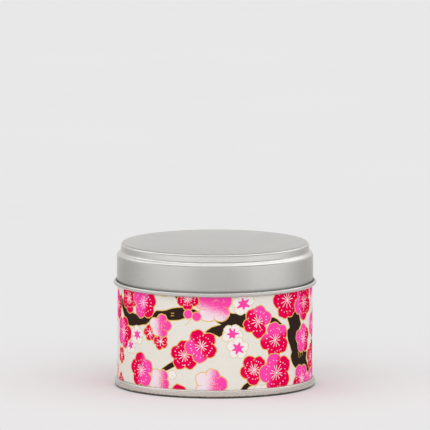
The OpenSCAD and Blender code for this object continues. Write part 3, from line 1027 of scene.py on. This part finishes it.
def build_wick(mat):
    """Eight cotton strands plaited round: four turn one way, four the other, over and under."""
    verts, faces = [], []
    z_lo, z_hi = 4.2, 46.45
    pitch, sides, tube = 9.0, 8, 0.39
    steps = int((z_hi - z_lo) / 0.22)
    rnd = random.Random(5)
    for k in range(8):
        way = 1 if k % 2 == 0 else -1
        phase = 2 * math.pi * k / 8
        top = z_hi - rnd.uniform(0.0, 0.35)
        line_pts = []
        for i in range(steps + 1):
            z = z_lo + (top - z_lo) * i / steps
            a = phase + way * 2 * math.pi * z / pitch
            r = 0.70 + way * 0.13 * math.cos(4 * a)
            if z < 11.0:
                r = min(r, 0.80)
            line_pts.append(Vector((r * math.cos(a), r * math.sin(a), z)))
        start = len(verts)
        for i, p in enumerate(line_pts):
            d = (line_pts[min(i + 1, steps)] - line_pts[max(i - 1, 0)]).normalized()
            u = Vector((p.x, p.y, 0)).normalized()
            u = (u - d * u.dot(d)).normalized()
            v = d.cross(u)
            rr = tube * (1.0 if i < steps - 1 else 0.75 if i < steps else 0.35)
            for j in range(sides):
                b = 2 * math.pi * j / sides
                q = p + (u * (0.80 * math.cos(b)) + v * (1.25 * math.sin(b))) * rr
                verts.append(tuple(c * MM for c in q))
        for i in range(steps):
            for j in range(sides):
                a, b = start + i * sides + j, start + i * sides + (j + 1) % sides
                faces.append((a, b, b + sides, a + sides))
        faces.append(tuple(start + j for j in range(sides))[::-1])
        faces.append(tuple(start + steps * sides + j for j in range(sides)))
    return make_object("wick_braided", verts, faces, mat, 60)


wick = build_wick(wick_material())
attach(wick, "tin"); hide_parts("wick")

# holder: a pressed disc with a neck crimped on the wick at four places
sus_outline = [(1.28, 4.15), (3.5, 4.15), (6.5, 4.15), (9.0, 4.15), (9.9, 4.17), (10.0, 4.25), (9.95, 4.42), (9.7, 4.45), (6.5, 4.45),
               (3.0, 4.45), (2.1, 4.47), (1.78, 4.62), (1.70, 4.9), (1.70, 6.4), (1.70, 7.2), (1.70, 8.0), (1.70, 9.0), (1.68, 10.3),
               (1.60, 10.42), (1.40, 10.42), (1.30, 10.35), (1.28, 9.0), (1.28, 8.0), (1.28, 7.2), (1.28, 6.4), (1.28, 4.9)]


def sus_move(r, z, a):
    if r < 1.75 and 5.5 < z < 9.6 and r > 1.6:
        k = math.exp(-((z - 7.6) / 1.0) ** 2)
        r -= 0.16 * k * (0.5 + 0.5 * math.cos(4 * a))
    return r * math.cos(a), r * math.sin(a), z


sustainer = turned("sustainer_crimped", sus_outline, even(64), m_sus, sus_move)
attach(sustainer, "tin"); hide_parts("wick_sustainer")


def plain_noise(name, a, b, scale, rough, bump):
    m = Mat(name)
    n = m.noise(m.coords(), scale, 3.0, 0.6)
    m.link(m.mix(m.remap(n, 0.35, 0.65, 0.0, 1.0), a, b), m.b.inputs["Base Color"])
    m.link(m.remap(n, 0.35, 0.65, rough + 0.06, rough - 0.06), m.b.inputs["Roughness"])
    m.bump(n, bump, 0.0001)
    return m.m


def dress(node, mat):
    ob = cad[node]
    ob.data.materials.clear()
    ob.data.materials.append(mat)


dress("wick_sticker", plain_noise("foam_pad", lin(226, 226, 220), lin(246, 246, 242), 1800.0, 0.8, 0.4))
dress("seam_compound", plain_noise("seam_compound", lin(92, 96, 92), lin(126, 130, 126), 1200.0, 0.6, 0.2))


# =====================================================================================
# floor and light
# =====================================================================================
def floor_material():
    m = Mat("floor_white")
    n = m.noise(m.coords(), 9.0, 2.0, 0.5)
    g = m.noise(m.coords(), 1400.0, 2.0, 0.5)
    m.link(m.mix(m.math("ADD", m.math("MULTIPLY", n, 0.6), m.math("MULTIPLY", g, 0.4)),
                 (0.757, 0.752, 0.752, 1.0), (0.797, 0.792, 0.792, 1.0)), m.b.inputs["Base Color"])
    m.b.inputs["Roughness"].default_value = 0.9
    m.b.inputs["Specular IOR Level"].default_value = 0.0
    return m.m


fm = bpy.data.meshes.new("floor")
F = 40.0
fm.from_pydata([(-F, -F, 0), (F, -F, 0), (F, F, 0), (-F, F, 0)], [], [(0, 1, 2, 3)])
fm.materials.append(floor_material())
floor = bpy.data.objects.new("floor", fm)
scene.collection.objects.link(floor)


class Net:
    """Number nodes for a light's strength."""

    def __init__(self, tree):
        self.t = tree

    def math(self, op, a, b=None):
        n = self.t.nodes.new("ShaderNodeMath")
        n.operation = op
        for i, v in enumerate((a, b)):
            if v is None:
                continue
            if isinstance(v, (int, float)):
                n.inputs[i].default_value = v
            else:
                self.t.links.new(v, n.inputs[i])
        return n.outputs[0]

    def step(self, v, a, b, c=0.0, d=1.0):
        n = self.t.nodes.new("ShaderNodeMapRange")
        n.interpolation_type = "SMOOTHSTEP"
        for key, x in (("From Min", a), ("From Max", b), ("To Min", c), ("To Max", d)):
            n.inputs[key].default_value = x
        self.t.links.new(v, n.inputs["Value"])
        return n.outputs["Result"]

    def ramp(self, v, stops):
        n = self.t.nodes.new("ShaderNodeValToRGB")
        n.color_ramp.interpolation = "B_SPLINE"
        while len(n.color_ramp.elements) < len(stops):
            n.color_ramp.elements.new(0.5)
        for e, (at, value) in zip(n.color_ramp.elements, stops):
            e.position = at
            e.color = (value, value, value, 1.0)
        self.t.links.new(v, n.inputs["Fac"])
        bw = self.t.nodes.new("ShaderNodeRGBToBW")
        self.t.links.new(n.outputs["Color"], bw.inputs["Color"])
        return bw.outputs["Val"]

    def direction(self, vector, turn=0.0):
        """Height, and the cosine of the angle round from the front, of a direction or a place."""
        nv = self.t.nodes.new("ShaderNodeVectorMath")
        nv.operation = "NORMALIZE"
        self.t.links.new(vector, nv.inputs[0])
        sep = self.t.nodes.new("ShaderNodeSeparateXYZ")
        self.t.links.new(nv.outputs["Vector"], sep.inputs[0])
        x, y, z = sep.outputs
        flat = self.math("SQRT", self.math("MAXIMUM", self.math("SUBTRACT", 1.0, self.math("MULTIPLY", z, z)), 0.0004))
        side = self.math("ADD", self.math("MULTIPLY", y, -math.cos(turn)), self.math("MULTIPLY", x, math.sin(turn)))
        return z, self.math("DIVIDE", side, flat), side, x


# ---- reflection tent: a dome round the tin that only polished surfaces see --------------
def tent(radius):
    verts, faces = [(0, 0, radius)], []
    rings, seg = 24, 64
    for i in range(1, rings + 1):
        e = math.pi / 2 * (1 - i / rings)
        for j in range(seg):
            a = 2 * math.pi * j / seg
            verts.append((radius * math.cos(e) * math.cos(a), radius * math.cos(e) * math.sin(a), radius * math.sin(e) + 0.0005))
    for j in range(seg):
        faces.append((0, 1 + j, 1 + (j + 1) % seg))
    for i in range(rings - 1):
        for j in range(seg):
            p, q = 1 + i * seg + j, 1 + i * seg + (j + 1) % seg
            faces.append((p, p + seg, q + seg, q))
    me = bpy.data.meshes.new("reflection_tent")
    me.from_pydata(verts, [], faces)
    me.polygons.foreach_set("use_smooth", [True] * len(me.polygons))
    mat = bpy.data.materials.new("reflection_tent")
    mat.use_nodes = True
    mat.cycles.emission_sampling = "NONE"
    nt = mat.node_tree
    nt.nodes.clear()
    net = Net(nt)
    seen = nt.nodes.new("ShaderNodeVectorMath")
    seen.operation = "SUBTRACT"
    seen.inputs[1].default_value = (0.0, 0.0, 0.05)
    nt.links.new(nt.nodes.new("ShaderNodeTexCoord").outputs["Object"], seen.inputs[0])
    z, ca, ahead, across = net.direction(seen.outputs["Vector"], TENT_TURN)
    # wall: tone round the tin, from behind (0) by the sides to the front (1)
    wall = net.ramp(net.math("ADD", net.math("MULTIPLY", ca, 0.5), 0.5), TENT_WALL)
    # darker towards the table, lighter over the lid's level at the sides
    front = net.step(ca, 0.25, 0.70)
    level = net.step(z, -0.05, 0.08)
    beside = net.math("MULTIPLY", net.math("SUBTRACT", 1.0, front), net.step(ca, -0.97, -0.80))
    wall = net.math("MULTIPLY", wall, net.step(z, -0.19, -0.09, TENT_LOW, 1.0))
    wall = net.math("ADD", wall, net.math("MULTIPLY", net.math("MULTIPLY", level, beside), 0.17))
    # in front a soft panel stands on the level of the lid
    panel = net.math("MULTIPLY", front, net.math("MULTIPLY", level, net.step(z, 0.30, 0.16)))
    wall = net.math("ADD", net.math("MULTIPLY", wall, net.math("SUBTRACT", 1.0, panel)), net.math("MULTIPLY", panel, TENT_PANEL))
    # overhead: a broad hoop of light, leaned back, with darker room inside it
    def leaned(turn):
        return net.math("SUBTRACT", net.math("MULTIPLY", z, math.cos(turn)), net.math("MULTIPLY", ahead, math.sin(turn)))

    inside = net.step(leaned(math.radians(32.0)), 0.715, 0.775)
    # in front the wall ends low, and darker room follows up to the hoop
    room = net.math("MULTIPLY", net.step(z, 0.14, 0.28), net.step(ca, -0.2, 0.4))
    gap = net.math("MAXIMUM", inside, room)
    body = net.math("ADD", net.math("MULTIPLY", wall, net.math("SUBTRACT", 1.0, gap)), net.math("MULTIPLY", gap, TENT_GAP))
    ring = net.math("MULTIPLY", net.step(leaned(math.radians(20.0)), 0.47, 0.55), net.math("SUBTRACT", 1.0, inside))
    ring = net.math("MULTIPLY", ring, net.step(ahead, -0.80, -0.40))
    top = net.step(net.math("ABSOLUTE", across), 0.15, 0.55, *TENT_TOP)
    total = net.math("ADD", net.math("MULTIPLY", body, net.math("SUBTRACT", 1.0, ring)), net.math("MULTIPLY", ring, top))
    em = nt.nodes.new("ShaderNodeEmission")
    em.inputs["Color"].default_value = (1.0, 0.995, 0.985, 1.0)
    nt.links.new(total, em.inputs["Strength"])
    nt.links.new(em.outputs[0], nt.nodes.new("ShaderNodeOutputMaterial").inputs["Surface"])
    me.materials.append(mat)
    o = bpy.data.objects.new("reflection_tent", me)
    for ray in ("camera", "diffuse", "transmission", "volume_scatter", "shadow"):
        setattr(o, "visible_" + ray, False)
    scene.collection.objects.link(o)


TENT_TURN = math.radians(4.0)
WORLD_BASE, WORLD_FRONT, WORLD_TOP, WORLD_SEEN = 0.56, 0.60, 0.54, 0.807
TENT_WALL = ((0.0, 0.86), (0.03, 0.79), (0.10, 0.60), (0.20, 0.53), (0.33, 0.57), (0.46, 0.70), (0.57, 0.85), (0.68, 0.98),
             (0.80, 1.13), (0.88, 1.06), (0.95, 0.73), (1.0, 0.645))
TENT_LOW = 0.75
TENT_PANEL = 1.30
TENT_GAP = 0.45
TENT_TOP = (1.62, 1.92)
tent(0.22)

# ---- even light from all round, a little more from the front --------------------------------
world = bpy.data.worlds.new("soft_light")
scene.world = world
world.use_nodes = True
wt = world.node_tree
wt.nodes.clear()
net = Net(wt)
wz, wca, _, _ = net.direction(wt.nodes.new("ShaderNodeTexCoord").outputs["Generated"])
front = net.math("MULTIPLY", net.step(wca, -0.5, 0.5), net.step(wz, 0.95, 0.6))
strength = net.math("ADD", net.math("MULTIPLY", net.step(wz, 0.45, 0.85), WORLD_TOP), WORLD_BASE)
strength = net.math("ADD", strength, net.math("MULTIPLY", front, WORLD_FRONT))
# past the floor's far edge the room looks as pale as the floor
seen = wt.nodes.new("ShaderNodeLightPath").outputs["Is Camera Ray"]
strength = net.math("ADD", net.math("MULTIPLY", strength, net.math("SUBTRACT", 1.0, seen)),
                    net.math("MULTIPLY", seen, WORLD_SEEN))
bg = wt.nodes.new("ShaderNodeBackground")
bg.inputs["Color"].default_value = (1.0, 0.997, 0.998, 1.0)
wt.links.new(strength, bg.inputs["Strength"])
wt.links.new(bg.outputs[0], wt.nodes.new("ShaderNodeOutputWorld").inputs["Surface"])
